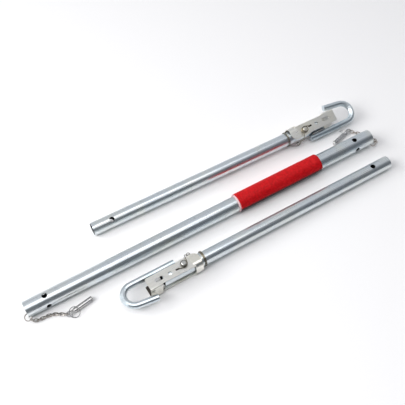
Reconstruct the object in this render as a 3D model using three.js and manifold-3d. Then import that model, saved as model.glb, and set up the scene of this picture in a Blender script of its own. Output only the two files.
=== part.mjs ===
// Three-piece vehicle tow pole, taken apart and laid side by side on the ground.
// A centre tube with a red warning sleeve carries a locking pin on a chain at each end.
// Two thinner arms plug into its ends; each arm ends in a round-bar hook with a sprung gate.
// Millimetres, +Z up, +X along the centre tube. The origin is on the ground below the layout's middle.
// Places of the arms, pins and chains are given from the ground point below the centre tube's middle.

import * as THREE from 'three';
import { mergeVertices } from 'three/addons/utils/BufferGeometryUtils.js';
import Module from 'manifold-3d';

const wasm = await Module();
wasm.setup();

// ---- driving dimensions ----------------------------------------------------------------------
const GAP = 0.3;                 // clearance kept between pieces that touch

const CENTRE_LENGTH = 780;
const CENTRE_RADIUS = 16;
const CENTRE_BORE = 14;          // bore radius: the arm tube slides inside with 0.5 mm clearance
const HOLE_INSET = 41;           // pin hole centre from a tube's open end
const PIN_HOLE_RADIUS = 5.25;
const RING_HOLE_INSET = 6;       // small hole near each rim for the chain's anchor ring
const RING_HOLE_RADIUS = 1.6;
const RING_HOLE_ANGLE = 112;     // degrees from the top of the tube towards the front

const SLEEVE_START = 58;
const SLEEVE_END = 256;
const SLEEVE_INNER = CENTRE_RADIUS + GAP;
const SLEEVE_OUTER = 19;
const SLEEVE_OVERLAP = 1.3;      // height of the step where the wrap overlaps itself
const SLEEVE_SEAM_ANGLE = 167;   // degrees in the YZ plane, from +Y towards +Z

const ARM_LENGTH = 620;          // open end to the crown of the hook
const ARM_RADIUS = 13.5;
const ARM_BORE = 11.5;
const TUBE_SETBACK = 86;         // crown of the hook to the cut end of the arm tube

const BAR_RADIUS = 6.5;
const BEND_RADIUS = 21.5;        // centre line of the hook's bend
const SHANK_OFFSET = ARM_RADIUS + BAR_RADIUS + GAP;
const SHANK_SETBACK = 122;       // crown to the rounded rear end of the shank
const TIP_SETBACK = 63;          // crown to the square-cut tip
const TIP_SPLAY = 7;             // degrees that the tip opens away from the shank

const WELD_RADIUS = 2.1;
const WELD_LENGTH = 34;

const SHEET = 1.6;               // gate sheet thickness
const GATE_FRONT = 54;           // crown to the front edge of the gate
const GATE_REAR = 165;
const GATE_PIVOT = 132;
const GATE_INSIDE = ARM_RADIUS + 1.1;
const GATE_OUTSIDE = GATE_INSIDE + SHEET;
const WEB_OUTSIDE = 17;          // outer face of the gate's web, on the mouth side
const WEB_INSIDE = WEB_OUTSIDE - SHEET;
const FLANGE_EDGE = -10;         // free edge of the flanges, on the shank side
const GATE_EAR = 12;             // radius of the flanges round the pivot
const GATE_CORNER = 3;           // outside radius of the pressed corners
const WINDOW_FRONT = 78;         // window in the web that the arm tube passes through
const WINDOW_REAR = 149;
const WINDOW_DEPTH = ARM_RADIUS + 0.4;
const SADDLE_SETBACK = 147;      // the rear end is pressed outwards into a rounded saddle
const SADDLE_STEP = 0.9;
const SADDLE_CORNER = 12;
const SLOT_SETBACK = 78;         // long slot in the flanges
const SLOT_LENGTH = 18;
const SLOT_RADIUS = 3.9;
const SIGHT_HOLE_SETBACK = 101;
const SIGHT_HOLE_RADIUS = 4.2;
const LEG_SLOT_SETBACK = 117;    // short slot that the spring's free leg hooks into
const LEG_SLOT_LENGTH = 9;
const LEG_SLOT_RADIUS = 1.9;
const HOLE_LINE = 3;             // the slots and the hole lie in one line beside the middle

const RIVET_RADIUS = 4;
const RIVET_HOLE_RADIUS = RIVET_RADIUS + GAP;
const RIVET_HEAD_RADIUS = 5.1;
const RIVET_HEAD_HEIGHT = 6;
const SHIM_RADIUS = 8;
const SHIM_THICKNESS = 0.5;

const WIRE_RADIUS = 0.8;         // gate spring wire
const SPRING_COIL_RADIUS = 6.4;
const SPRING_PITCH = 2;
const SPRING_TURNS = 1;
const SPRING_SHELF = GATE_OUTSIDE + GAP + WIRE_RADIUS;
const SPRING_START = SPRING_SHELF + SPRING_PITCH;
const SPRING_TOP = SPRING_START + SPRING_TURNS * SPRING_PITCH;
const WRAP_SETBACK = 170;        // where the spring's fixed leg wraps round the arm tube
const WRAP_TURNS = 2;
const WRAP_PITCH = 2.3;
const LOOP_SETBACK = 153;        // the fixed leg makes a loop beside the tube, on the shank side
const LOOP_OFFSET = -19.4;
const LOOP_RADIUS = 3.6;

const RING_RADIUS = 6.5;         // chain anchor ring, centre line
const RING_WIRE = 0.9;
const LINK_WIRE = 0.85;
const LINK_HALF_LENGTH = 4.9;    // centre line
const LINK_HALF_WIDTH = 2.75;
const LINK_COUNT = 11;

const PIN_RADIUS = 4.75;
const PIN_LENGTH = 39;           // shoulder to tip
const EYE_SETBACK = 11;          // eye centre from the shoulder
const EYE_RADIUS = 6;            // the pin's head is hammered flat into an eye
const EYE_HALF_THICKNESS = 0.8;
const EYE_HOLE_RADIUS = 4.2;
const BALL_BORE_DEPTH = 2.8;     // the ball's blind bore ends this far past the pin's axis
const BALL_RADIUS = 2;
const BALL_SETBACK = 4.5;        // ball centre from the pin's tip
const BALL_RISE = 0.7;           // how far the ball stands out of the shank
const PULL_RING_RADIUS = 10;
const PULL_RING_WIRE = 0.8;
const PULL_RING_TILT = 34;       // degrees between the ring's wire and the flat of the eye

// The centre tube rests on its left rim and on the left edge of its sleeve.
const CENTRE_RISE = (SLEEVE_OUTER - CENTRE_RADIUS) / (CENTRE_LENGTH / 2 + SLEEVE_START);
const CENTRE_PITCH = Math.asin(CENTRE_RISE);
const CENTRE_HEIGHT = CENTRE_RADIUS + CENTRE_RISE * CENTRE_LENGTH / 2;

// Where the arms lie on the ground: place of the open end, heading of the hook, pitch and roll.
const UPPER_ARM = { x: -211, y: 94, heading: -1.34, pitch: 0.89, roll: 24 };
const LOWER_ARM = { x: 386, y: -68.5, heading: 180.64, pitch: 0.62, roll: 0 };

// Where the pins lie: place of the eye and heading of the tip. The pull ring lies a little to one
// side of the tip's heading and leans on the shank.
const NEAR_PIN = { x: -323.5, y: -42.5, heading: 9, ringSide: -25, ringLift: 11 };
const FAR_PIN = { x: 374, y: 44.3, heading: 194.8, ringSide: -25, ringLift: 11 };

// ---- materials -------------------------------------------------------------------------------
const zincTube = new THREE.MeshStandardMaterial({ color: 0xb9c3cc, roughness: 0.3, metalness: 1 });
const zincBar = new THREE.MeshStandardMaterial({ color: 0xb4c6cf, roughness: 0.28, metalness: 1 });
const zincSheet = new THREE.MeshStandardMaterial({ color: 0xc6c5b6, roughness: 0.36, metalness: 1 });
const zincWire = new THREE.MeshStandardMaterial({ color: 0x9a9184, roughness: 0.4, metalness: 1 });
const steel = new THREE.MeshStandardMaterial({ color: 0xa3a5a6, roughness: 0.3, metalness: 1 });
const weldMetal = new THREE.MeshStandardMaterial({ color: 0x8f959a, roughness: 0.5, metalness: 1 });
const nylon = new THREE.MeshStandardMaterial({ color: 0xd9d6c8, roughness: 0.5, metalness: 0 });
const redWrap = new THREE.MeshStandardMaterial({ color: 0xd3141c, roughness: 0.45, metalness: 0 });

// ---- helpers ---------------------------------------------------------------------------------
const X_AXIS = new THREE.Vector3(1, 0, 0);
const Y_AXIS = new THREE.Vector3(0, 1, 0);
const Z_AXIS = new THREE.Vector3(0, 0, 1);
const radians = THREE.MathUtils.degToRad;
const vec = (x, y, z) => new THREE.Vector3(x, y, z);

function toSolid(geometry) {
  const bare = geometry.index ? geometry.clone() : geometry;
  bare.deleteAttribute('normal');
  bare.deleteAttribute('uv');
  const merged = mergeVertices(bare, 1e-4);
  return new wasm.Manifold(new wasm.Mesh({
    numProp: 3,
    vertProperties: new Float32Array(merged.attributes.position.array),
    triVerts: new Uint32Array(merged.index.array),
  }));
}

function toGeometry(solid) {
  const mesh = solid.getMesh();
  const geometry = new THREE.BufferGeometry();
  geometry.setAttribute('position', new THREE.BufferAttribute(mesh.vertProperties, 3));
  geometry.setIndex(new THREE.BufferAttribute(mesh.triVerts, 1));
  return geometry;
}

function cut(geometry, ...tools) {
  let solid = toSolid(geometry);
  for (const tool of tools) solid = solid.subtract(toSolid(tool));
  return toGeometry(solid);
}

function join(geometry, ...others) {
  let solid = toSolid(geometry);
  for (const other of others) solid = solid.add(toSolid(other));
  return toGeometry(solid);
}

// A cylinder centred on `at` with its length along `axis`.
function rod(radius, length, axis, at, sides = 24) {
  const geometry = new THREE.CylinderGeometry(radius, radius, length, sides);
  geometry.applyQuaternion(new THREE.Quaternion().setFromUnitVectors(Y_AXIS, axis));
  return geometry.translate(at.x, at.y, at.z);
}

function box(from, to) {
  const geometry = new THREE.BoxGeometry(to.x - from.x, to.y - from.y, to.z - from.z);
  return geometry.translate((from.x + to.x) / 2, (from.y + to.y) / 2, (from.z + to.z) / 2);
}

// A turned piece: points are [radius, height] pairs, spun round +Z.
function turned(points, sides = 24) {
  const geometry = new THREE.LatheGeometry(points.map(([r, h]) => new THREE.Vector2(r, h)), sides);
  return geometry.rotateX(Math.PI / 2);
}

function circleShape(radius, sides) {
  const points = [];
  for (let i = 0; i < sides; i += 1) {
    const angle = (i / sides) * 2 * Math.PI;
    points.push(new THREE.Vector2(radius * Math.cos(angle), radius * Math.sin(angle)));
  }
  return new THREE.Shape(points);
}

function alongPath(curve, radius, steps, sides) {
  return new THREE.ExtrudeGeometry(circleShape(radius, sides), { extrudePath: curve, steps });
}

// A closed wire loop: straight sides of 2 * straight along X, round ends of radius `half` (0 = ring).
class LoopCurve extends THREE.Curve {
  constructor(straight, half) {
    super();
    this.straight = straight;
    this.half = half;
  }

  getPoint(t, target = new THREE.Vector3()) {
    const { straight, half } = this;
    const perimeter = 4 * straight + 2 * Math.PI * half;
    let s = ((t % 1) + 1) % 1 * perimeter;
    if (s < 2 * straight) return target.set(s - straight, -half, 0);
    s -= 2 * straight;
    if (s < Math.PI * half) {
      const angle = s / half - Math.PI / 2;
      return target.set(straight + half * Math.cos(angle), half * Math.sin(angle), 0);
    }
    s -= Math.PI * half;
    if (s < 2 * straight) return target.set(straight - s, half, 0);
    const angle = (s - 2 * straight) / half + Math.PI / 2;
    return target.set(-straight + half * Math.cos(angle), half * Math.sin(angle), 0);
  }
}

// The wire loop as one closed tube with no end caps.
function wireLoop(curve, radius, steps, sides) {
  const positions = [];
  const index = [];
  for (let i = 0; i < steps; i += 1) {
    const centre = curve.getPoint(i / steps);
    const tangent = curve.getTangent(i / steps);
    const outward = vec(tangent.y, -tangent.x, 0);
    for (let j = 0; j < sides; j += 1) {
      const angle = (j / sides) * 2 * Math.PI;
      const offset = outward.clone().multiplyScalar(radius * Math.cos(angle));
      offset.z = radius * Math.sin(angle);
      positions.push(...centre.clone().add(offset).toArray());
      const next = ((i + 1) % steps) * sides;
      const here = i * sides;
      const k = (j + 1) % sides;
      index.push(here + j, next + j, next + k, here + j, next + k, here + k);
    }
  }
  const geometry = new THREE.BufferGeometry();
  geometry.setAttribute('position', new THREE.Float32BufferAttribute(positions, 3));
  geometry.setIndex(index);
  return geometry;
}

function addMesh(parent, name, geometry, material) {
  const mesh = new THREE.Mesh(geometry, material);
  mesh.name = name;
  parent.add(mesh);
  return mesh;
}

// ---- centre tube and sleeve ------------------------------------------------------------------
function centreTube() {
  const sides = 36;
  const tools = [rod(CENTRE_BORE, CENTRE_LENGTH + 10, X_AXIS, vec(0, 0, 0), sides)];
  const bore = 3 * CENTRE_RADIUS;
  const ringAngle = radians(RING_HOLE_ANGLE);
  const outward = vec(0, -Math.sin(ringAngle), Math.cos(ringAngle));
  for (const end of [-1, 1]) {
    const pinX = end * (CENTRE_LENGTH / 2 - HOLE_INSET);
    tools.push(rod(PIN_HOLE_RADIUS, bore, Z_AXIS, vec(pinX, 0, 0), 16));
    tools.push(rod(PIN_HOLE_RADIUS, bore, Y_AXIS, vec(pinX, 0, 0), 16));
    const ringX = end * (CENTRE_LENGTH / 2 - RING_HOLE_INSET);
    const at = outward.clone().multiplyScalar(CENTRE_RADIUS).setX(ringX);
    tools.push(rod(RING_HOLE_RADIUS, CENTRE_RADIUS, outward, at, 8));
  }
  return cut(rod(CENTRE_RADIUS, CENTRE_LENGTH, X_AXIS, vec(0, 0, 0), sides), ...tools);
}

// A sheet wrapped once round the tube: its outer face spirals out to a step at the seam.
function warningSleeve() {
  const sides = 48;
  const seam = radians(SLEEVE_SEAM_ANGLE);
  const outline = [];
  for (let i = 0; i <= sides; i += 1) {
    const turn = i / sides;
    const radius = SLEEVE_OUTER + SLEEVE_OVERLAP * turn ** 6;
    const angle = seam + turn * 2 * Math.PI;
    outline.push(new THREE.Vector2(radius * Math.cos(angle), radius * Math.sin(angle)));
  }
  const shape = new THREE.Shape(outline);
  shape.holes.push(new THREE.Path(circleShape(SLEEVE_INNER / Math.cos(Math.PI / 40), 40).getPoints()));
  const length = SLEEVE_END - SLEEVE_START;
  const geometry = new THREE.ExtrudeGeometry(shape, { depth: length, bevelEnabled: false });
  geometry.applyMatrix4(new THREE.Matrix4().makeBasis(Y_AXIS, Z_AXIS, X_AXIS));
  return geometry.translate(SLEEVE_START, 0, 0);
}

// ---- arm: built with its open end at the origin, the hook at +X and its mouth towards +Y -----
function armTube() {
  const length = ARM_LENGTH - TUBE_SETBACK;
  const middle = vec(length / 2, 0, 0);
  return cut(
    rod(ARM_RADIUS, length, X_AXIS, middle, 32),
    rod(ARM_BORE, length + 10, X_AXIS, middle, 32),
    rod(PIN_HOLE_RADIUS, 3 * ARM_RADIUS, Z_AXIS, vec(HOLE_INSET, 0, 0), 16),
    rod(RIVET_HOLE_RADIUS, 3 * ARM_RADIUS, Z_AXIS, vec(ARM_LENGTH - GATE_PIVOT, 0, 0), 12),
  );
}

class HookCurve extends THREE.Curve {
  constructor() {
    super();
    this.centre = vec(ARM_LENGTH - BAR_RADIUS - BEND_RADIUS, BEND_RADIUS - SHANK_OFFSET, 0);
    this.start = ARM_LENGTH - SHANK_SETBACK;
    this.sweep = Math.PI - radians(TIP_SPLAY);
    this.lengths = [this.centre.x - this.start, BEND_RADIUS * this.sweep, 0];
    this.tipDirection = vec(-Math.cos(radians(TIP_SPLAY)), Math.sin(radians(TIP_SPLAY)), 0);
    this.bendEnd = this.onBend(this.sweep);
    this.lengths[2] = (this.bendEnd.x - (ARM_LENGTH - TIP_SETBACK)) / -this.tipDirection.x;
    this.total = this.lengths[0] + this.lengths[1] + this.lengths[2];
  }

  onBend(turn) {
    const angle = turn - Math.PI / 2;
    return vec(Math.cos(angle), Math.sin(angle), 0).multiplyScalar(BEND_RADIUS).add(this.centre);
  }

  getPoint(t) {
    let s = t * this.total;
    if (s <= this.lengths[0]) return vec(this.start + s, -SHANK_OFFSET, 0);
    s -= this.lengths[0];
    if (s <= this.lengths[1]) return this.onBend(s / BEND_RADIUS);
    s -= this.lengths[1];
    return this.tipDirection.clone().multiplyScalar(s).add(this.bendEnd);
  }
}

function hookBar() {
  return alongPath(new HookCurve(), BAR_RADIUS, 32, 12);
}

// A weld bead lies in each groove between the tube and the shank.
function weldBead(side) {
  const middle = ARM_LENGTH - (TUBE_SETBACK + SHANK_SETBACK) / 2;
  const groove = vec(middle, -14.2, side * 7.4);
  return rod(WELD_RADIUS, WELD_LENGTH, X_AXIS, groove, 8);
}

// Section of the pressed channel. It is pressed outwards by step, with its outer corners rounded.
function gateProfile(step, corner) {
  const shape = new THREE.Shape();
  const inner = corner - SHEET;
  const edge = -GATE_EAR;
  const [outside, inside] = [GATE_OUTSIDE + step, GATE_INSIDE + step];
  const [webOut, webIn] = [WEB_OUTSIDE + step, WEB_INSIDE + step];
  shape.moveTo(edge, inside);
  shape.lineTo(edge, outside);
  shape.absarc(webOut - corner, outside - corner, corner, Math.PI / 2, 0, true);
  shape.absarc(webOut - corner, corner - outside, corner, 0, -Math.PI / 2, true);
  shape.lineTo(edge, -outside);
  shape.lineTo(edge, -inside);
  shape.absarc(webIn - inner, inner - inside, inner, -Math.PI / 2, 0, false);
  shape.absarc(webIn - inner, inside - inner, inner, 0, Math.PI / 2, false);
  shape.closePath();
  return shape;
}

function gateChannel(front, rear, step, corner, segments) {
  const channel = new THREE.ExtrudeGeometry(gateProfile(step, corner), {
    depth: rear - front, bevelEnabled: false, curveSegments: segments,
  });
  channel.applyMatrix4(new THREE.Matrix4().makeBasis(Y_AXIS, Z_AXIS, X_AXIS));
  return channel.translate(ARM_LENGTH - rear, 0, 0);
}

// Plan outline of the flanges: straight free edge at the front, a round ear at the pivot end.
function gateOutline() {
  const front = ARM_LENGTH - GATE_FRONT;
  const rear = ARM_LENGTH - GATE_REAR;
  const pivot = ARM_LENGTH - GATE_PIVOT;
  const beyond = WEB_OUTSIDE + 2;
  const shape = new THREE.Shape();
  shape.moveTo(front - 3, FLANGE_EDGE);
  shape.absarc(front - 3, FLANGE_EDGE + 3, 3, -Math.PI / 2, 0, false);
  shape.lineTo(front, beyond);
  shape.lineTo(rear, beyond);
  shape.lineTo(rear, 0);
  shape.absarc(rear + GATE_EAR, 0, GATE_EAR, Math.PI, 1.5 * Math.PI, false);
  shape.lineTo(pivot + 4, -GATE_EAR);
  shape.lineTo(pivot + 14, FLANGE_EDGE);
  shape.closePath();
  return shape;
}

// A slot through both flanges, along the arm.
function flangeSlot(setback, length, radius, height) {
  const x = ARM_LENGTH - setback;
  const half = length / 2 - radius;
  return [
    rod(radius, height, Z_AXIS, vec(x - half, HOLE_LINE, 0), 12),
    rod(radius, height, Z_AXIS, vec(x + half, HOLE_LINE, 0), 12),
    box(vec(x - half, HOLE_LINE - radius, -height / 2), vec(x + half, HOLE_LINE + radius, height / 2)),
  ];
}

function gate() {
  const front = gateChannel(GATE_FRONT - 2, SADDLE_SETBACK + 3, 0, GATE_CORNER, 3);
  const saddle = gateChannel(SADDLE_SETBACK, GATE_REAR + 2, SADDLE_STEP, SADDLE_CORNER, 6);
  const channel = join(front, saddle);
  const height = 3 * GATE_OUTSIDE;
  const outline = new THREE.ExtrudeGeometry(gateOutline(), {
    depth: height, bevelEnabled: false, curveSegments: 5,
  });
  outline.translate(0, 0, -height / 2);
  const tools = [
    box(vec(ARM_LENGTH - WINDOW_REAR, WINDOW_DEPTH, -GATE_OUTSIDE - 2),
      vec(ARM_LENGTH - WINDOW_FRONT, WEB_OUTSIDE + 2, GATE_OUTSIDE + 2)),
    ...flangeSlot(SLOT_SETBACK, SLOT_LENGTH, SLOT_RADIUS, height),
    ...flangeSlot(LEG_SLOT_SETBACK, LEG_SLOT_LENGTH, LEG_SLOT_RADIUS, height),
    rod(SIGHT_HOLE_RADIUS, height, Z_AXIS, vec(ARM_LENGTH - SIGHT_HOLE_SETBACK, HOLE_LINE, 0), 12),
    rod(RIVET_HOLE_RADIUS, height, Z_AXIS, vec(ARM_LENGTH - GATE_PIVOT, 0, 0), 12),
  ];
  let solid = toSolid(channel).intersect(toSolid(outline));
  for (const tool of tools) solid = solid.subtract(toSolid(tool));
  return toGeometry(solid);
}

// One rivet: the tall made head stands inside the spring coil, the closed head is low.
function pivotRivet() {
  const headUnder = GATE_OUTSIDE + GAP;
  const headTop = headUnder + RIVET_HEAD_HEIGHT;
  return turned([
    [0, -headUnder - 2.2], [4, -headUnder - 1.8], [6, -headUnder],
    [RIVET_RADIUS, -headUnder], [RIVET_RADIUS, headUnder],
    [RIVET_HEAD_RADIUS, headUnder], [RIVET_HEAD_RADIUS, headTop - 1], [4, headTop - 0.2], [0, headTop],
  ], 16).translate(ARM_LENGTH - GATE_PIVOT, 0, 0);
}

function shim(side) {
  const hole = RIVET_HOLE_RADIUS;
  const low = ARM_RADIUS + GAP;
  const high = low + SHIM_THICKNESS;
  const disc = turned([[hole, low], [SHIM_RADIUS, low], [SHIM_RADIUS, high], [hole, high], [hole, low]], 16);
  if (side < 0) disc.rotateX(Math.PI);
  return disc.translate(ARM_LENGTH - GATE_PIVOT, 0, 0);
}

// The spring's coil stands on the gate round the rivet. Its fixed leg runs back from the top turn,
// makes one loop beside the tube on the shank side, and wraps round the tube behind the gate.
function springCoil() {
  const pivotX = ARM_LENGTH - GATE_PIVOT;
  const loopX = ARM_LENGTH - LOOP_SETBACK;
  const path = [];
  const perTurn = 10;
  const coilSteps = SPRING_TURNS * perTurn + perTurn / 2;
  for (let i = 0; i <= coilSteps; i += 1) {
    const angle = (i / perTurn) * 2 * Math.PI;
    const height = SPRING_START + (SPRING_TOP - SPRING_START) * (i / coilSteps);
    const x = pivotX + SPRING_COIL_RADIUS * Math.cos(angle);
    path.push(vec(x, SPRING_COIL_RADIUS * Math.sin(angle), height));
  }
  path.push(vec(pivotX - 8, -9, SPRING_TOP - 0.5));
  path.push(vec(pivotX - 11, -17, 15));
  for (let i = 0; i <= 12; i += 1) {
    const angle = radians(10 - i * 36);
    const x = loopX + LOOP_RADIUS * Math.cos(angle);
    path.push(vec(x, LOOP_OFFSET + LOOP_RADIUS * Math.sin(angle), 7 - i * 0.75));
  }
  path.push(vec(ARM_LENGTH - GATE_REAR - 2, -17, -4));
  const wrapRadius = ARM_RADIUS + 2 * GAP + WIRE_RADIUS;
  const wrapStart = ARM_LENGTH - WRAP_SETBACK;
  const wrapSteps = WRAP_TURNS * 12;
  for (let i = 0; i <= wrapSteps; i += 1) {
    const angle = radians(215) + (i / 12) * 2 * Math.PI;
    const x = wrapStart - WRAP_PITCH * (i / 12);
    path.push(vec(x, wrapRadius * Math.cos(angle), wrapRadius * Math.sin(angle)));
  }
  return alongPath(new THREE.CatmullRomCurve3(path), WIRE_RADIUS, 92, 5);
}

// The spring's free leg turns with the gate: from under the coil to a hook in the gate's slot.
function springLeg() {
  const pivotX = ARM_LENGTH - GATE_PIVOT;
  const hookX = ARM_LENGTH - LEG_SLOT_SETBACK;
  const path = new THREE.CatmullRomCurve3([
    vec(pivotX - SPRING_COIL_RADIUS, 0, SPRING_SHELF),
    vec(pivotX - SPRING_COIL_RADIUS * 0.7, SPRING_COIL_RADIUS * 0.7, SPRING_SHELF),
    vec(pivotX, SPRING_COIL_RADIUS, SPRING_SHELF),
    vec(pivotX + 7, 5.6, SPRING_SHELF),
    vec(hookX - 1.6, HOLE_LINE + 0.6, SPRING_SHELF),
    vec(hookX, HOLE_LINE, SPRING_SHELF - 1.2),
    vec(hookX, HOLE_LINE, GATE_INSIDE + 0.4),
  ]);
  return alongPath(path, WIRE_RADIUS, 16, 5);
}

function buildArm(prefix, place) {
  const arm = new THREE.Group();
  addMesh(arm, `${prefix}_arm_tube`, armTube(), zincTube);
  addMesh(arm, `${prefix}_hook_bar`, hookBar(), zincBar);
  addMesh(arm, `${prefix}_weld_bead_top`, weldBead(1), weldMetal);
  addMesh(arm, `${prefix}_weld_bead_bottom`, weldBead(-1), weldMetal);
  addMesh(arm, `${prefix}_pivot_rivet`, pivotRivet(), steel);
  addMesh(arm, `${prefix}_shim_top`, shim(1), nylon);
  addMesh(arm, `${prefix}_shim_bottom`, shim(-1), nylon);
  addMesh(arm, `${prefix}_gate_spring_coil`, springCoil(), zincWire);
  addMesh(arm, `${prefix}_gate_spring_leg`, springLeg(), zincWire);
  addMesh(arm, `${prefix}_gate`, gate(), zincSheet);
  arm.rotation.set(radians(place.roll), radians(-place.pitch), radians(place.heading), 'ZYX');
  arm.position.set(place.x, place.y, ARM_RADIUS);
  return arm;
}

// ---- locking pin: built along +X from its eye, on its own axis -------------------------------
const BALL_X = EYE_SETBACK + PIN_LENGTH - BALL_SETBACK;
const BALL_Y = BALL_RADIUS - BALL_RISE - PIN_RADIUS;

function pinBody() {
  const shoulder = EYE_SETBACK;
  const tip = shoulder + PIN_LENGTH;
  const bevel = 1.4;
  const shank = turned([
    [0, shoulder - 2], [PIN_RADIUS - 1.6, shoulder - 2], [PIN_RADIUS, shoulder],
    [PIN_RADIUS, tip - bevel], [PIN_RADIUS - bevel, tip], [0, tip],
  ], 18).rotateY(Math.PI / 2);
  const eye = rod(EYE_RADIUS, 2 * EYE_HALF_THICKNESS, Z_AXIS, vec(0, 0, 0), 18);
  const neckHalfWidth = PIN_RADIUS - 1;
  const neck = box(vec(0, -neckHalfWidth, -EYE_HALF_THICKNESS), vec(shoulder, neckHalfWidth, EYE_HALF_THICKNESS));
  const boreLength = 2 * PIN_RADIUS;
  return cut(
    join(shank, eye, neck),
    rod(EYE_HOLE_RADIUS, PIN_RADIUS, Z_AXIS, vec(0, 0, 0), 16),
    rod(BALL_RADIUS + GAP, boreLength, Y_AXIS, vec(BALL_X, BALL_BORE_DEPTH - boreLength / 2, 0), 12),
  );
}

function detentBall() {
  return new THREE.SphereGeometry(BALL_RADIUS, 12, 7).translate(BALL_X, BALL_Y, 0);
}

class SpringCurve extends THREE.Curve {
  constructor(radius, length, turns) {
    super();
    this.radius = radius;
    this.length = length;
    this.turns = turns;
  }

  getPoint(t) {
    const angle = t * this.turns * 2 * Math.PI;
    return vec(this.radius * Math.cos(angle), this.length * t, this.radius * Math.sin(angle));
  }
}

function detentSpring() {
  const wire = 0.25;
  const radius = 1.3;
  const start = BALL_Y + BALL_RADIUS + BALL_RISE + wire + GAP;
  const end = BALL_BORE_DEPTH - wire - GAP;
  return alongPath(new SpringCurve(radius, end - start, 2.5), wire, 24, 4).translate(BALL_X, start, 0);
}

function pullRing() {
  return wireLoop(new LoopCurve(0, PULL_RING_RADIUS), PULL_RING_WIRE, 22, 6);
}

// ---- chain -----------------------------------------------------------------------------------
function chainLink() {
  const straight = LINK_HALF_LENGTH - LINK_HALF_WIDTH;
  return wireLoop(new LoopCurve(straight, LINK_HALF_WIDTH), LINK_WIRE, 14, 5);
}

// Links lie evenly along a route, each turned a quarter about it from the one before.
function addChain(parent, prefix, route) {
  const curve = new THREE.CatmullRomCurve3(route);
  const total = curve.getLength();
  const pitch = (total - 2 * LINK_HALF_LENGTH) / (LINK_COUNT - 1);
  for (let i = 0; i < LINK_COUNT; i += 1) {
    const at = (LINK_HALF_LENGTH + i * pitch) / total;
    const link = addMesh(parent, `${prefix}_chain_link_${i + 1}`, chainLink(), zincWire);
    const forward = curve.getTangentAt(at);
    const side = new THREE.Vector3().crossVectors(Z_AXIS, forward).normalize();
    const up = new THREE.Vector3().crossVectors(forward, side);
    link.setRotationFromMatrix(new THREE.Matrix4().makeBasis(forward, side, up));
    link.rotateX(radians(i % 2 === 0 ? -45 : 45));
    link.position.copy(curve.getPointAt(at));
  }
}

function anchorRing(parent, prefix, end) {
  const angle = radians(RING_HOLE_ANGLE);
  const outward = vec(0, -Math.sin(angle), Math.cos(angle));
  const wall = (CENTRE_RADIUS + CENTRE_BORE) / 2;
  const ring = wireLoop(new LoopCurve(0, RING_RADIUS), RING_WIRE, 18, 5);
  const mesh = addMesh(parent, `${prefix}_anchor_ring`, ring, zincWire);
  const across = new THREE.Vector3().crossVectors(X_AXIS, outward);
  mesh.setRotationFromMatrix(new THREE.Matrix4().makeBasis(X_AXIS, outward, across));
  mesh.position.copy(outward).multiplyScalar(wall);
  mesh.position.x = end * (CENTRE_LENGTH / 2 - RING_HOLE_INSET + RING_RADIUS);
}

function buildPin(prefix, place) {
  const pin = new THREE.Group();
  addMesh(pin, `${prefix}_pin`, pinBody(), steel);
  addMesh(pin, `${prefix}_detent_ball`, detentBall(), steel);
  addMesh(pin, `${prefix}_detent_spring`, detentSpring(), steel);
  const ring = addMesh(pin, `${prefix}_pull_ring`, pullRing(), steel);
  ring.rotation.set(radians(PULL_RING_TILT), -radians(place.ringLift), radians(place.ringSide), 'ZYX');
  ring.position.set(PULL_RING_RADIUS, 0, 0).applyEuler(ring.rotation);
  pin.position.set(place.x, place.y, PIN_RADIUS + 0.1);
  pin.rotation.set(0, 0, radians(place.heading));
  return pin;
}

// ---- the whole tow pole, laid out ------------------------------------------------------------
const layout = new THREE.Group();

const centre = new THREE.Group();
addMesh(centre, 'centre_tube', centreTube(), zincTube);
addMesh(centre, 'warning_sleeve', warningSleeve(), redWrap);
anchorRing(centre, 'near', -1);
anchorRing(centre, 'far', 1);
centre.rotation.set(0, -CENTRE_PITCH, 0);
centre.position.set(0, 0, CENTRE_HEIGHT);
layout.add(centre);

layout.add(buildArm('upper', UPPER_ARM));
layout.add(buildArm('lower', LOWER_ARM));

// Each chain runs from its anchor ring down to the ground and on to the eye of its pin.
addChain(layout, 'near', [
  vec(-388.5, -17.6, 9.0), vec(-384.5, -22.1, 6.5), vec(-377, -24.4, 3.9), vec(-367, -25, 3.2),
  vec(-356, -25.8, 3.1), vec(-345, -29.5, 3.1), vec(-335.5, -35.8, 4.3), vec(-325.4, -41.4, 4.85),
]);
layout.add(buildPin('near', NEAR_PIN));
addChain(layout, 'far', [
  vec(395.4, -13.9, 16.8), vec(400.4, -13.6, 13), vec(404.2, -11.2, 8.8), vec(406.6, -4, 4.9),
  vec(406.5, 5, 3.1), vec(404.5, 14, 3.1), vec(398.5, 21.5, 3.1), vec(391, 27, 3.1),
  vec(383.4, 34.5, 4.1), vec(375.7, 42.9, 4.85),
]);
layout.add(buildPin('far', FAR_PIN));

// The origin is moved to the ground below the middle of the whole layout.
layout.updateMatrixWorld(true);
const extent = new THREE.Box3().setFromObject(layout, true);
const middle = extent.getCenter(new THREE.Vector3());
layout.position.set(-middle.x, -middle.y, -extent.min.z);

const towPole = new THREE.Group();
towPole.add(layout);

export default towPole;
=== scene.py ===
import math

import bpy
from mathutils import Matrix, Vector, noise


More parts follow.
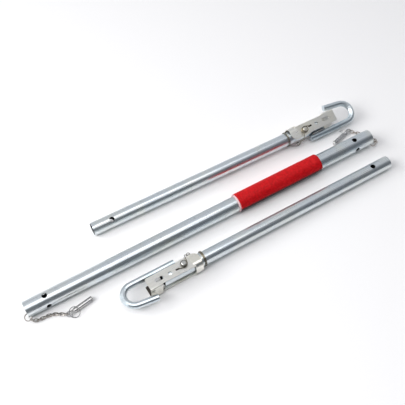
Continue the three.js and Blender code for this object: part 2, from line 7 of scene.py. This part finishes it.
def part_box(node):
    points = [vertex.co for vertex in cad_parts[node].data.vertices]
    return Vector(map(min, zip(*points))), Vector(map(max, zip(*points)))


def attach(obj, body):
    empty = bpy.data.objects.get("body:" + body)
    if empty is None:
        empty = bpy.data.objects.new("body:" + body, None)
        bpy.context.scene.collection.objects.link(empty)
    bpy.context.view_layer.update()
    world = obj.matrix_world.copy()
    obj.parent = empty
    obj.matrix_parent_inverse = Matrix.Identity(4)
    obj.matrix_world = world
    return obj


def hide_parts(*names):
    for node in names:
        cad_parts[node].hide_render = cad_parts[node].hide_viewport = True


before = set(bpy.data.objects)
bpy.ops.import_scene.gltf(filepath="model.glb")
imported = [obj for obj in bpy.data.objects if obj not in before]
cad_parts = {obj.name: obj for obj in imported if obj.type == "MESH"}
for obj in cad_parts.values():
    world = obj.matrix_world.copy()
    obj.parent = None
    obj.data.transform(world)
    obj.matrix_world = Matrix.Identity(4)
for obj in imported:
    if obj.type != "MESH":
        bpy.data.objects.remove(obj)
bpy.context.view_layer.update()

# ---- driving dimensions, in metres -------------------------------------------------------------
MM = 0.001
LAYOUT_SHIFT = Vector((-5.928, -1.927, 0)) * MM   # ground point below the centre tube's middle

CENTRE_LENGTH = 780 * MM
CENTRE_RADIUS = 16 * MM
CENTRE_BORE = 14 * MM

ARM_LENGTH = 620 * MM              # open end to the crown of the hook
ARM_RADIUS = 13.5 * MM
ARM_BORE = 11.5 * MM
UPPER_ARM = {"x": -211, "y": 94, "heading": -1.34, "pitch": 0.89, "roll": 24}   # mm and degrees
LOWER_ARM = {"x": 386, "y": -68.5, "heading": 180.64, "pitch": 0.62, "roll": 0}

# Along the arm, from its open end, or out from its axis.
TUBE_END = 534 * MM                # cut end of the arm tube
GATE_START = 455 * MM              # rear edge of the gate
GATE_INSIDE = 14.6 * MM            # inner faces of the gate's flanges
WEB_INSIDE = 15.4 * MM             # inner face of the gate's web
PAINTED_SHADE_START = 475 * MM            # painted shade on the tube under the flanges
PAINTED_SHADE_END = 512 * MM
PAINTED_SHADE_CLEAR_HEIGHT = 9 * MM       # the tube's sides stay without painted shade up to here
PAINTED_SHADE_FULL_HEIGHT = 12 * MM

WRAP_THICKNESS = 0.9 * MM
WRAP_FIRST_RADIUS = 16.9 * MM
WRAP_PITCH = 1.55 * MM             # growth of the radius in one turn
WRAP_TURNS = 1.55
WRAP_SHADE_RADIUS = 18.7 * MM       # nearer the tube than this radius, the sheet is painted dark: painted shade below the flap's free edge
WRAP_STEP = 2.4 * MM               # the inner turn stands out this far at the left end
WRAP_SEAM = math.radians(167)      # where the outer layer ends, from +Y over +Z
WRAP_END_GAP = 0.5 * MM            # the sheet stops this far short of the sleeve's right end
WRAP_EDGE_WOBBLE = 0.35 * MM       # unevenness of the cut ends
WRAP_RIPPLE = 0.10 * MM            # unevenness of the outer turn
WRAP_FLAP_LIFT = 0.45 * MM         # least lift of the free edge; its waves add up to as much again
OUTER_START = 0.36                 # shares of the winding: where it is no longer covered,
STEP_START = 0.38                  # where its left end begins to step back,
FLAP_START = 0.94                  # and where the free edge begins to lift
STEP_SLOPE = 9                     # the step back takes 1/9 of the winding

WELD_RADIUS = 2.1 * MM
WELD_LENGTH = 34 * MM
WELD_SETBACK = 101 * MM            # crown of the hook to the middle of the bead
WELD_OFFSET = -14.2 * MM           # arm axis to the bead, towards the hook's shank
WELD_HEIGHT = 7.4 * MM             # arm axis to the bead, upwards and downwards
WELD_RIPPLES = 13

SMOOTH_ANGLE = math.radians(34)    # edges sharper than this stay sharp

CAMERA_AZIMUTH = math.radians(-30.6)
CAMERA_ELEVATION = math.radians(56)
CAMERA_DISTANCE = 1.409
CAMERA_TARGET = Vector((9.8, 47.2, 0)) * MM + LAYOUT_SHIFT
CAMERA_LENS = 62.1                 # millimetres, as the sensor
CAMERA_SENSOR = 36

LAMP_HEIGHT = 2.0
FILL_HEIGHT = 1.9
FLOOR_HALF = 4.0
WORLD_FRONT = (0.12, 0.13, 0.15, 1)
WORLD_BACK = (0.58, 0.59, 0.62, 1)
WORLD_RAMP = (-0.55, 0.05)         # Y of the view direction where front turns into back


# ---- small helpers -----------------------------------------------------------------------------
def mesh_piece(name, points, faces, material):
    """A new smooth-shaded mesh object."""
    mesh = bpy.data.meshes.new(name)
    mesh.from_pydata([tuple(p) for p in points], [], faces)
    mesh.update()
    for polygon in mesh.polygons:
        polygon.use_smooth = True
    mesh.materials.append(material)
    piece = bpy.data.objects.new(name, mesh)
    bpy.context.collection.objects.link(piece)
    return piece


def arm_matrix(place):
    """From an arm's own frame, open end at its origin and hook at +X, to the shared frame."""
    turn = (Matrix.Rotation(math.radians(place["heading"]), 4, "Z")
            @ Matrix.Rotation(math.radians(-place["pitch"]), 4, "Y")
            @ Matrix.Rotation(math.radians(place["roll"]), 4, "X"))
    origin = Vector((place["x"] * MM, place["y"] * MM, ARM_RADIUS)) + LAYOUT_SHIFT
    return Matrix.Translation(origin) @ turn


def centre_matrix():
    """From the centre tube's own frame, middle of the axis at its origin, to the shared frame."""
    low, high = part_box("centre_tube")
    middle = (low + high) / 2
    rise = (high.z - low.z - 2 * CENTRE_RADIUS) / CENTRE_LENGTH
    return Matrix.Translation(middle) @ Matrix.Rotation(-math.asin(rise), 4, "Y")


CENTRE_TUBE_MATRIX = centre_matrix()


# ---- material helpers --------------------------------------------------------------------------
class Nodes:
    """Short calls for building one node material."""

    def __init__(self, name):
        self.material = bpy.data.materials.new(name)
        self.material.use_nodes = True
        self.tree = self.material.node_tree
        self.shader = self.tree.nodes["Principled BSDF"]
        coordinates = self.tree.nodes.new("ShaderNodeTexCoord")
        self.place = coordinates.outputs["Object"]

    def link(self, source, target):
        self.tree.links.new(source, target)

    def stretched(self, x, y, z):
        mapping = self.tree.nodes.new("ShaderNodeMapping")
        mapping.inputs["Scale"].default_value = (x, y, z)
        self.link(self.place, mapping.inputs["Vector"])
        return mapping.outputs["Vector"]

    def noise(self, vector, scale, detail=4.0, distortion=0.0):
        texture = self.tree.nodes.new("ShaderNodeTexNoise")
        texture.inputs["Scale"].default_value = scale
        texture.inputs["Detail"].default_value = detail
        texture.inputs["Distortion"].default_value = distortion
        self.link(vector, texture.inputs["Vector"])
        return texture.outputs["Fac"]

    def span(self, value, low, high, to_low, to_high):
        ramp = self.tree.nodes.new("ShaderNodeMapRange")
        ramp.inputs["From Min"].default_value = low
        ramp.inputs["From Max"].default_value = high
        ramp.inputs["To Min"].default_value = to_low
        ramp.inputs["To Max"].default_value = to_high
        self.link(value, ramp.inputs["Value"])
        return ramp.outputs["Result"]

    def blend(self, factor, first, second):
        mix = self.tree.nodes.new("ShaderNodeMix")
        mix.data_type = "RGBA"
        self.link(factor, mix.inputs["Factor"])
        for socket, colour in ((mix.inputs[6], first), (mix.inputs[7], second)):
            if isinstance(colour, tuple):
                socket.default_value = (*colour, 1)
            else:
                self.link(colour, socket)
        return mix.outputs[2]

    def bump(self, height, distance, strength=1.0, normal=None):
        bump = self.tree.nodes.new("ShaderNodeBump")
        bump.inputs["Strength"].default_value = strength
        bump.inputs["Distance"].default_value = distance
        self.link(height, bump.inputs["Height"])
        if normal is not None:
            self.link(normal, bump.inputs["Normal"])
        return bump.outputs["Normal"]

    def compute(self, operation, *values):
        node = self.tree.nodes.new("ShaderNodeMath")
        node.operation = operation
        for socket, value in zip(node.inputs, values):
            self.link(value, socket)
        return node.outputs["Value"]

    def axes(self, vector):
        parts = self.tree.nodes.new("ShaderNodeSeparateXYZ")
        self.link(vector, parts.inputs["Vector"])
        return parts.outputs["X"], parts.outputs["Y"], parts.outputs["Z"]

    def place_in(self, matrix):
        """Sockets x, y and z of the shaded point in the frame that the matrix leads out of."""
        inverse = matrix.inverted()
        local = self.tree.nodes.new("ShaderNodeMapping")
        local.inputs["Location"].default_value = inverse.to_translation()
        local.inputs["Rotation"].default_value = inverse.to_euler("XYZ")
        self.link(self.place, local.inputs["Vector"])
        return self.axes(local.outputs["Vector"])

    def radius(self, y, z):
        """Distance from the X axis."""
        squares = [self.compute("MULTIPLY", value, value) for value in (y, z)]
        return self.compute("SQRT", self.compute("ADD", *squares))

    def inside(self, limits):
        """Product of ramps from 0 to 1: one (socket, value at 0, value at 1) for each limit."""
        ramps = [self.span(source, at_zero, at_one, 0.0, 1.0) for source, at_zero, at_one in limits]
        mask = ramps[0]
        for ramp in ramps[1:]:
            mask = self.compute("MULTIPLY", mask, ramp)
        return mask

    def paint_shade(self, mask, shade_colour, shade_roughness):
        """Paints shade on the masked area: a darker colour and a higher roughness."""
        shade_gloss = (shade_roughness, shade_roughness, shade_roughness)
        for name, shade_value in (("Base Color", shade_colour), ("Roughness", shade_gloss)):
            socket = self.shader.inputs[name]
            unshaded = socket.links[0].from_socket
            self.link(self.blend(mask, unshaded, shade_value), socket)

    def set(self, **values):
        names = {"colour": "Base Color", "roughness": "Roughness", "normal": "Normal",
                 "metallic": "Metallic", "specular": "Specular IOR Level"}
        for key, value in values.items():
            socket = self.shader.inputs[names[key]]
            if isinstance(value, (int, float)):
                socket.default_value = value
            else:
                self.link(value, socket)
        return self.material


def zinc_nodes(name, pale, dark, warm, roughness, grain, streak_depth, spot=0.35):
    """Bright zinc plate: drawn or rolled lines, cloudy passivation, fine pits and handling spots."""
    n = Nodes(name)
    lines = n.noise(n.stretched(*grain), 1.0, 7.0)
    clouds = n.noise(n.place, 22.0, 3.0, 0.6)
    pits = n.noise(n.place, 1300.0, 2.0)
    spots = n.span(n.noise(n.place, 95.0, 4.0, 0.4), 0.60, 0.72, 0.0, spot)
    body = n.blend(n.span(lines, 0.36, 0.64, 0.0, 1.0), pale, dark)
    tinted = n.blend(n.span(clouds, 0.42, 0.66, 0.0, 0.75), body, warm)
    colour = n.blend(spots, tinted, tuple(0.62 * c for c in dark))
    low, high = roughness
    gloss = n.span(lines, 0.3, 0.7, low, high)
    normal = n.bump(pits, 0.00004, 0.35)
    normal = n.bump(lines, streak_depth, 0.6, normal)
    n.set(colour=colour, roughness=gloss, normal=normal, metallic=1.0)
    return n


def zinc(name, *look):
    return zinc_nodes(name, *look).material


def tube_finish(name, matrix, bore, outside, shaded_under_gate):
    """Plated tube with painted shade in its bore, which is also made dull; an arm tube also gets painted
    shade under the gate.
    """
    n = zinc_nodes(name, *TUBE_LOOK)
    x, y, z = n.place_in(matrix)
    # Painted shade: the bore is painted near black, as if the inside of the tube lay in shade.
    in_bore = n.inside([(n.radius(y, z), (bore + outside) / 2, bore + 0.4 * MM)])
    n.paint_shade(in_bore, shade_colour=(0.05, 0.048, 0.05), shade_roughness=0.6)
    if shaded_under_gate:
        # Painted shade on the tube where it runs under the gate's flanges.
        height = n.compute("ABSOLUTE", z)
        shade_under_gate_mask = n.inside([(x, PAINTED_SHADE_START, PAINTED_SHADE_START + 6 * MM),
                               (x, PAINTED_SHADE_END + 3 * MM, PAINTED_SHADE_END),
                               (height, PAINTED_SHADE_CLEAR_HEIGHT, PAINTED_SHADE_FULL_HEIGHT)])
        n.paint_shade(shade_under_gate_mask, shade_colour=(0.035, 0.03, 0.026), shade_roughness=0.55)
    return n.material


def gate_finish(name, matrix, shade_start, shade_end, shade_reach):
    """Yellowish zinc plate, with painted shade on the inner faces, where shade falls inside the channel."""
    n = zinc_nodes(name, *SHEET_LOOK)
    x, y, z = n.place_in(matrix)
    height = n.compute("ABSOLUTE", z)
    # Painted shade on the flanges' inner faces inside the channel.
    painted_shade_inside = n.inside([(height, GATE_INSIDE + 0.5 * MM, GATE_INSIDE + 0.2 * MM),
                              (y, shade_reach + 0.6 * MM, shade_reach + 0.2 * MM),
                              (x, shade_start, shade_start + 4 * MM),
                              (x, shade_end + 4 * MM, shade_end)])
    n.paint_shade(painted_shade_inside, shade_colour=(0.10, 0.085, 0.075), shade_roughness=0.5)
    return n.material


def wrap_material():
    """Coated signal-red sheet: cloth print-through, faint creases, painted shade on the first turn where it
    shows below the free edge, a pale left edge.
    """
    n = Nodes("red_wrap_sheet")
    outer_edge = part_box("warning_sleeve")[0].x + WRAP_STEP
    x = n.axes(n.place)[0]
    edge = n.span(x, outer_edge + 0.3 * MM, outer_edge - 0.5 * MM, 0.0, 1.0)
    weave_x = n.noise(n.stretched(2600, 150, 150), 1.0, 1.0)
    weave_y = n.noise(n.stretched(150, 2600, 2600), 1.0, 1.0)
    wear = n.noise(n.place, 60.0, 5.0, 0.8)
    mottle = n.noise(n.place, 210.0, 3.0)
    base = n.blend(n.span(mottle, 0.35, 0.65, 0.0, 1.0), (0.60, 0.004, 0.008), (0.44, 0.002, 0.004))
    worn = n.blend(n.span(wear, 0.54, 0.74, 0.0, 0.5), base, (0.74, 0.02, 0.02))
    y, z = n.place_in(CENTRE_TUBE_MATRIX)[1:]
    # Painted shade: the first turn is painted near black where it shows below the flap's free edge.
    under = n.span(n.radius(y, z), WRAP_SHADE_RADIUS + 0.2 * MM, WRAP_SHADE_RADIUS - 0.2 * MM, 0.0, 1.0)
    covered = n.blend(under, worn, (0.05, 0.002, 0.004))
    colour = n.blend(edge, covered, (0.86, 0.62, 0.64))
    gloss = n.span(wear, 0.3, 0.7, 0.42, 0.6)
    normal = n.bump(weave_x, 0.00006, 0.5)
    normal = n.bump(weave_y, 0.00006, 0.5, normal)
    normal = n.bump(wear, 0.0006, 0.35, normal)
    return n.set(colour=colour, roughness=gloss, normal=normal, metallic=0.0, specular=0.2)


def wrap_core_material():
    """The sheet's pale cut edges."""
    n = Nodes("wrap_core")
    fibre = n.noise(n.place, 900.0, 3.0)
    colour = n.blend(fibre, (0.86, 0.58, 0.58), (0.74, 0.40, 0.42))
    gloss = n.span(fibre, 0.3, 0.7, 0.5, 0.7)
    return n.set(colour=colour, roughness=gloss, normal=n.bump(fibre, 0.0001), metallic=0.0)


def weld_material():
    """Plated weld metal with scale and traces of soot."""
    n = Nodes("weld_plated")
    scale = n.noise(n.place, 420.0, 5.0)
    soot = n.noise(n.place, 130.0, 3.0)
    base = n.blend(n.span(scale, 0.4, 0.62, 0.0, 1.0), (0.52, 0.54, 0.55), (0.30, 0.31, 0.32))
    colour = n.blend(n.span(soot, 0.5, 0.66, 0.0, 0.7), base, (0.24, 0.21, 0.18))
    gloss = n.span(scale, 0.3, 0.7, 0.32, 0.6)
    return n.set(colour=colour, roughness=gloss, normal=n.bump(scale, 0.0003, 0.6), metallic=1.0)


def nylon_material():
    """Off-white washers, slightly mottled."""
    n = Nodes("nylon_washer")
    mottle = n.noise(n.place, 500.0, 3.0)
    colour = n.blend(mottle, (0.78, 0.76, 0.68), (0.66, 0.63, 0.54))
    gloss = n.span(mottle, 0.3, 0.7, 0.4, 0.6)
    return n.set(colour=colour, roughness=gloss, normal=n.bump(mottle, 0.0001), metallic=0.0)


def floor_material():
    """Pale paper."""
    n = Nodes("floor_paper")
    fibre = n.noise(n.place, 240.0, 3.0)
    colour = n.blend(fibre, (0.93, 0.92, 0.915), (0.915, 0.905, 0.90))
    return n.set(colour=colour, roughness=0.6, metallic=0.0, specular=0.2)


# ---- materials of the CAD nodes ----------------------------------------------------------------
# A look is: pale, dark and warm tone, lowest and highest roughness, grain, streak depth, spots.
TUBE_LOOK = ((0.78, 0.83, 0.85), (0.63, 0.69, 0.73), (0.77, 0.80, 0.77),
             (0.25, 0.36), (14, 900, 900), 0.00005)
SHEET_LOOK = ((0.92, 0.91, 0.86), (0.80, 0.79, 0.73), (0.86, 0.83, 0.72),
              (0.26, 0.38), (40, 200, 200), 0.00002, 0.2)
upper_matrix = arm_matrix(UPPER_ARM)
lower_matrix = arm_matrix(LOWER_ARM)
centre_zinc = tube_finish("centre_tube_zinc", CENTRE_TUBE_MATRIX, CENTRE_BORE, CENTRE_RADIUS, False)
upper_tube_zinc = tube_finish("upper_tube_zinc", upper_matrix, ARM_BORE, ARM_RADIUS, True)
lower_tube_zinc = tube_finish("lower_tube_zinc", lower_matrix, ARM_BORE, ARM_RADIUS, True)
upper_gate_zinc = gate_finish("upper_gate_zinc", upper_matrix,
                              shade_start=GATE_START, shade_end=TUBE_END - 8 * MM, shade_reach=9 * MM)
lower_gate_zinc = gate_finish("lower_gate_zinc", lower_matrix,
                              shade_start=TUBE_END + 6 * MM, shade_end=ARM_LENGTH, shade_reach=WEB_INSIDE)
bar_zinc = zinc("bar_zinc", (0.67, 0.75, 0.79), (0.51, 0.60, 0.65), (0.69, 0.73, 0.74),
                (0.28, 0.40), (70, 420, 420), 0.00004)
chain_zinc = zinc("chain_zinc", (0.50, 0.47, 0.44), (0.24, 0.22, 0.20), (0.42, 0.36, 0.31),
                  (0.26, 0.46), (300, 300, 300), 0.00006, 0.7)
rivet_zinc = zinc("rivet_zinc", (0.70, 0.70, 0.67), (0.48, 0.48, 0.46), (0.68, 0.64, 0.54),
                  (0.24, 0.40), (260, 260, 260), 0.00005)
spring_zinc = zinc("spring_steel", (0.26, 0.25, 0.21), (0.13, 0.12, 0.10), (0.24, 0.20, 0.13),
                   (0.28, 0.46), (260, 260, 260), 0.00003, 0.6)
pin_zinc = zinc("pin_steel", (0.62, 0.62, 0.63), (0.42, 0.42, 0.42), (0.58, 0.56, 0.52),
                (0.20, 0.34), (700, 90, 90), 0.00004)
nylon = nylon_material()
weld_metal = weld_material()
red_sheet = wrap_material()
wrap_core = wrap_core_material()

# The first word found in a node's name decides.
FINISHES = [
    ("upper_arm_tube", upper_tube_zinc), ("lower_arm_tube", lower_tube_zinc), ("centre_tube", centre_zinc),
    ("shim", nylon), ("weld", weld_metal), ("spring", spring_zinc), ("rivet", rivet_zinc),
    ("chain", chain_zinc), ("anchor", chain_zinc), ("hook_bar", bar_zinc),
    ("upper_gate", upper_gate_zinc), ("lower_gate", lower_gate_zinc),
    ("pin", pin_zinc), ("pull_ring", pin_zinc), ("ball", pin_zinc), ("sleeve", red_sheet),
]


def finish_of(node_name):
    for word, material in FINISHES:
        if word in node_name:
            return material
    raise ValueError(node_name)


for node_name, node_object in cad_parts.items():
    mesh = node_object.data
    mesh.materials.clear()
    mesh.materials.append(finish_of(node_name))
    mesh.shade_smooth()
    mesh.set_sharp_from_angle(angle=SMOOTH_ANGLE)


# ---- the red warning sleeve: one stiff coated sheet wound one and a half times round the tube --
TUBE_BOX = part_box("centre_tube")


def sleeve_axis(x):
    """Centre of the tube at this x: the tube lies slightly raised towards its far end."""
    low, high = TUBE_BOX
    share = (x - low.x) / (high.x - low.x)
    rise = (high.z - low.z) - 2 * CENTRE_RADIUS
    return Vector((x, (low.y + high.y) / 2, low.z + CENTRE_RADIUS + rise * share))


def sheet_point(share, wound, left_end, right_end):
    """A point of the sheet: share of its length along the tube, share of its winding round it."""
    angle = WRAP_SEAM - (1 - wound) * WRAP_TURNS * 2 * math.pi
    left = left_end + WRAP_STEP * min(1.0, max(0.0, (wound - STEP_START) * STEP_SLOPE))
    x = left + (right_end - WRAP_END_GAP - left) * share
    x += WRAP_EDGE_WOBBLE * noise.noise(Vector((wound * 9, 4 * (share > 0.5), 1.7)))
    radius = WRAP_FIRST_RADIUS + WRAP_PITCH * WRAP_TURNS * wound
    outer = max(0.0, (wound - OUTER_START) / (1 - OUTER_START))
    radius += WRAP_RIPPLE * outer * noise.noise(Vector((x * 34, angle * 1.2, 0.4)))
    lift = max(0.0, (wound - FLAP_START) / (1 - FLAP_START))
    wave = 0.5 + 0.5 * noise.noise(Vector((x * 26, 5.1, 2.2)))
    radius += lift ** 1.5 * WRAP_FLAP_LIFT * (1 + wave)
    return sleeve_axis(x) + Vector((0, radius * math.cos(angle), radius * math.sin(angle)))


def wrapped_sheet():
    low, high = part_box("warning_sleeve")
    rows = 110
    columns = 190
    points = []
    for i in range(rows + 1):
        for j in range(columns + 1):
            points.append(sheet_point(i / rows, j / columns, low.x, high.x))
    faces = []
    across = columns + 1
    for i in range(rows):
        for j in range(columns):
            corner = i * across + j
            faces.append((corner, corner + 1, corner + across + 1, corner + across))
    piece = mesh_piece("warning_wrap", points, faces, red_sheet)
    solid = piece.modifiers.new("thickness", "SOLIDIFY")
    solid.thickness = WRAP_THICKNESS
    solid.offset = 0
    piece.data.materials.append(wrap_core)
    solid.material_offset_rim = 1
    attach(piece, "centre")
    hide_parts("warning_sleeve")


wrapped_sheet()


# ---- weld beads: overlapping ripples in the grooves between hook bar and tube ------------------
def bead_point(share, angle, side):
    """A point of the bead in the arm's frame: share of its length, angle round its own axis."""
    x = ARM_LENGTH - WELD_SETBACK + (share - 0.5) * WELD_LENGTH
    taper = math.sqrt(max(0.0, 1 - abs(2 * share - 1) ** 10))
    ripple = 0.5 + 0.5 * math.sin(share * 2 * math.pi * WELD_RIPPLES - 1.1 * abs(math.sin(angle)))
    grain = noise.noise(Vector((x * 300, angle, side)))
    radius = WELD_RADIUS * taper * (0.86 + 0.10 * ripple + 0.04 * grain)
    return Vector((x, WELD_OFFSET + radius * math.cos(angle), side * WELD_HEIGHT + radius * math.sin(angle)))


def weld_bead(prefix, place, half, side):
    """The bead in the upper groove for side 1, in the lower one for side -1."""
    matrix = arm_matrix(place)
    rings = 96
    sides = 18
    points = []
    for i in range(rings + 1):
        for j in range(sides):
            points.append(matrix @ bead_point(i / rings, 2 * math.pi * j / sides, side))
    faces = []
    for i in range(rings):
        for j in range(sides):
            a = i * sides + j
            b = i * sides + (j + 1) % sides
            faces.append((a, b, b + sides, a + sides))
    faces.append(tuple(range(sides))[::-1])
    faces.append(tuple(range(rings * sides, (rings + 1) * sides)))
    piece = mesh_piece(f"{prefix}_weld_{half}", points, faces, weld_metal)
    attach(piece, f"{prefix}_arm")
    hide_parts(f"{prefix}_weld_bead_{half}")


for prefix, place in (("upper", UPPER_ARM), ("lower", LOWER_ARM)):
    for half, side in (("top", 1), ("bottom", -1)):
        weld_bead(prefix, place, half, side)


# ---- floor, lights and camera ------------------------------------------------------------------
def make_floor():
    corners = ((-1, -1), (1, -1), (1, 1), (-1, 1))
    points = [(x * FLOOR_HALF, y * FLOOR_HALF, 0) for x, y in corners]
    floor = mesh_piece("floor", points, [(0, 1, 2, 3)], floor_material())


def area_light(name, place, target, size, power):
    data = bpy.data.lights.new(name, "AREA")
    data.shape = "RECTANGLE"
    data.size, data.size_y = size
    data.energy = power
    lamp = bpy.data.objects.new(name, data)
    lamp.location = place
    lamp.rotation_euler = (Vector(target) - Vector(place)).to_track_quat("-Z", "Y").to_euler()
    bpy.context.collection.objects.link(lamp)


def make_world():
    """Dark on the camera's side, pale behind the object."""
    world = bpy.data.worlds.new("studio")
    bpy.context.scene.world = world
    world.use_nodes = True
    tree = world.node_tree
    background = tree.nodes["Background"]
    direction = tree.nodes.new("ShaderNodeTexCoord")
    axes = tree.nodes.new("ShaderNodeSeparateXYZ")
    tree.links.new(direction.outputs["Generated"], axes.inputs["Vector"])
    ramp = tree.nodes.new("ShaderNodeMapRange")
    ramp.interpolation_type = "SMOOTHSTEP"
    low, high = WORLD_RAMP
    ramp.inputs["From Min"].default_value = low
    ramp.inputs["From Max"].default_value = high
    tree.links.new(axes.outputs["Y"], ramp.inputs["Value"])
    mix = tree.nodes.new("ShaderNodeMix")
    mix.data_type = "RGBA"
    tree.links.new(ramp.outputs["Result"], mix.inputs["Factor"])
    mix.inputs[6].default_value = WORLD_FRONT
    mix.inputs[7].default_value = WORLD_BACK
    tree.links.new(mix.outputs[2], background.inputs["Color"])


def make_camera():
    back = Vector((math.sin(CAMERA_AZIMUTH) * math.cos(CAMERA_ELEVATION),
                   -math.cos(CAMERA_AZIMUTH) * math.cos(CAMERA_ELEVATION),
                   math.sin(CAMERA_ELEVATION)))
    data = bpy.data.cameras.new("camera")
    data.lens = CAMERA_LENS
    data.sensor_width = CAMERA_SENSOR
    data.clip_start = 0.01
    camera = bpy.data.objects.new("camera", data)
    camera.location = CAMERA_TARGET + back * CAMERA_DISTANCE
    camera.rotation_euler = back.to_track_quat("Z", "Y").to_euler()
    bpy.context.collection.objects.link(camera)
    bpy.context.scene.camera = camera


make_floor()
make_world()
area_light("softbox", place=(-0.47, -0.3, LAMP_HEIGHT), target=(-0.47, -0.3, 0), size=(2.3, 1.05), power=15)
area_light("left_fill", place=(-2.4, 0.1, FILL_HEIGHT), target=(0, 0, 0), size=(1.6, 1.6), power=42)
area_light("rear_fill", place=(-2.4, 1.7, FILL_HEIGHT), target=(0, 0, 0), size=(1.4, 1.4), power=42)
make_camera()
bpy.context.scene.view_settings.view_transform = "Standard"
